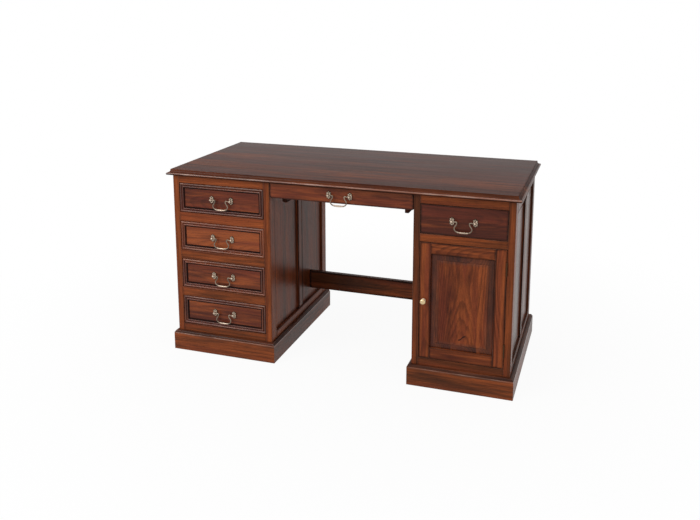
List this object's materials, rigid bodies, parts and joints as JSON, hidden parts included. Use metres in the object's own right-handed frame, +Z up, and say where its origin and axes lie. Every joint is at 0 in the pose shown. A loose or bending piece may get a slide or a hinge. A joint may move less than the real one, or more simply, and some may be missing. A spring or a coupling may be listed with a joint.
{
  "type": "pedestal desk",
  "caption": "Dark hardwood pedestal desk with a moulded top, a bank of framed drawers, a drawer over a panelled cabinet door, a slim drawer over the kneehole and brass bail handles.",
  "frame": {"origin": "middle of the desk's footprint, on the floor", "axes": "+X to the right seen from the front, +Y to the back, +Z up; the drawers open towards -Y"},
  "size_m": [1.4, 0.66, 0.762],
  "materials": {
    "top_wood": "satin lacquer",
    "case_wood": "satin lacquer",
    "front_wood": "satin lacquer",
    "plinth_wood": "satin lacquer",
    "inner_wood": "plain sanded",
    "antique_brass": "aged, dull",
    "knob_brass": "polished",
    "hinge_brass": "dull",
    "catch_plastic": "matt",
    "catch_steel": "plated"
  },
  "bodies": {
    "desk_frame": {"desk_top": "top_wood", "top_cleats": "inner_wood", "stretcher": "case_wood", "centre_back_rail": "case_wood", "centre_hangers": "inner_wood", "left_posts": "case_wood", "left_side_rails": "case_wood", "left_muntins": "case_wood", "left_side_panels": "case_wood", "left_back_rails": "case_wood", "left_back_panel": "case_wood", "left_front_rails": "case_wood", "left_runners": "inner_wood", "left_bottom_board": "inner_wood", "left_plinth": "plinth_wood", "right_posts": "case_wood", "right_side_rails": "case_wood", "right_muntins": "case_wood", "right_side_panels": "case_wood", "right_back_rails": "case_wood", "right_back_panel": "case_wood", "right_front_rails": "case_wood", "right_runners": "inner_wood", "right_bottom_board": "inner_wood", "right_plinth": "plinth_wood", "cabinet_shelf": "inner_wood", "shelf_pins": "hinge_brass", "hinge_post_leaves": "hinge_brass", "hinge_pins": "hinge_brass", "door_catch": "catch_plastic"},
    "left_drawer_1": {"left_drawer_1_front": "front_wood", "left_drawer_1_box": "inner_wood", "left_drawer_1_handle_posts": "antique_brass"},
    "left_drawer_1_bail": {"left_drawer_1_bail": "antique_brass"},
    "left_drawer_2": {"left_drawer_2_front": "front_wood", "left_drawer_2_box": "inner_wood", "left_drawer_2_handle_posts": "antique_brass"},
    "left_drawer_2_bail": {"left_drawer_2_bail": "antique_brass"},
    "left_drawer_3": {"left_drawer_3_front": "front_wood", "left_drawer_3_box": "inner_wood", "left_drawer_3_handle_posts": "antique_brass"},
    "left_drawer_3_bail": {"left_drawer_3_bail": "antique_brass"},
    "left_drawer_4": {"left_drawer_4_front": "front_wood", "left_drawer_4_box": "inner_wood", "left_drawer_4_handle_posts": "antique_brass"},
    "left_drawer_4_bail": {"left_drawer_4_bail": "antique_brass"},
    "right_drawer": {"right_drawer_front": "front_wood", "right_drawer_box": "inner_wood", "right_drawer_handle_posts": "antique_brass"},
    "right_drawer_bail": {"right_drawer_bail": "antique_brass"},
    "centre_drawer": {"centre_drawer_front": "front_wood", "centre_drawer_box": "inner_wood", "centre_drawer_handle_posts": "antique_brass"},
    "centre_drawer_bail": {"centre_drawer_bail": "antique_brass"},
    "door": {"door_stiles": "front_wood", "door_rails": "front_wood", "door_panel": "front_wood", "door_knob": "knob_brass", "hinge_door_leaves": "hinge_brass", "catch_plate": "catch_steel"}
  },
  "joints": [
    {"name": "left_drawer_1_slide", "type": "slide", "parent": "desk_frame", "child": "left_drawer_1", "axis": [0, -1, 0], "range_m": [0, 0.4]},
    {"name": "left_drawer_1_bail_hinge", "type": "hinge", "parent": "left_drawer_1", "child": "left_drawer_1_bail", "pos_m": [-0.47, -0.315, 0.6472], "axis": [-1, 0, 0], "range_deg": [0, 95]},
    {"name": "left_drawer_2_slide", "type": "slide", "parent": "desk_frame", "child": "left_drawer_2", "axis": [0, -1, 0], "range_m": [0, 0.4]},
    {"name": "left_drawer_2_bail_hinge", "type": "hinge", "parent": "left_drawer_2", "child": "left_drawer_2_bail", "pos_m": [-0.47, -0.315, 0.4891], "axis": [-1, 0, 0], "range_deg": [0, 95]},
    {"name": "left_drawer_3_slide", "type": "slide", "parent": "desk_frame", "child": "left_drawer_3", "axis": [0, -1, 0], "range_m": [0, 0.4]},
    {"name": "left_drawer_3_bail_hinge", "type": "hinge", "parent": "left_drawer_3", "child": "left_drawer_3_bail", "pos_m": [-0.47, -0.315, 0.331], "axis": [-1, 0, 0], "range_deg": [0, 95]},
    {"name": "left_drawer_4_slide", "type": "slide", "parent": "desk_frame", "child": "left_drawer_4", "axis": [0, -1, 0], "range_m": [0, 0.4]},
    {"name": "left_drawer_4_bail_hinge", "type": "hinge", "parent": "left_drawer_4", "child": "left_drawer_4_bail", "pos_m": [-0.47, -0.315, 0.1729], "axis": [-1, 0, 0], "range_deg": [0, 95]},
    {"name": "right_drawer_slide", "type": "slide", "parent": "desk_frame", "child": "right_drawer", "axis": [0, -1, 0], "range_m": [0, 0.4]},
    {"name": "right_drawer_bail_hinge", "type": "hinge", "parent": "right_drawer", "child": "right_drawer_bail", "pos_m": [0.496, -0.321, 0.64895], "axis": [-1, 0, 0], "range_deg": [0, 95]},
    {"name": "centre_drawer_slide", "type": "slide", "parent": "desk_frame", "child": "centre_drawer", "axis": [0, -1, 0], "range_m": [0, 0.3]},
    {"name": "centre_drawer_bail_hinge", "type": "hinge", "parent": "centre_drawer", "child": "centre_drawer_bail", "pos_m": [0.026, -0.321, 0.7076], "axis": [-1, 0, 0], "range_deg": [0, 95]},
    {"name": "door_hinge", "type": "hinge", "parent": "desk_frame", "child": "door", "pos_m": [0.6541, -0.3127, 0.3362], "axis": [0, 0, 1], "range_deg": [0, 105]}
  ]
}
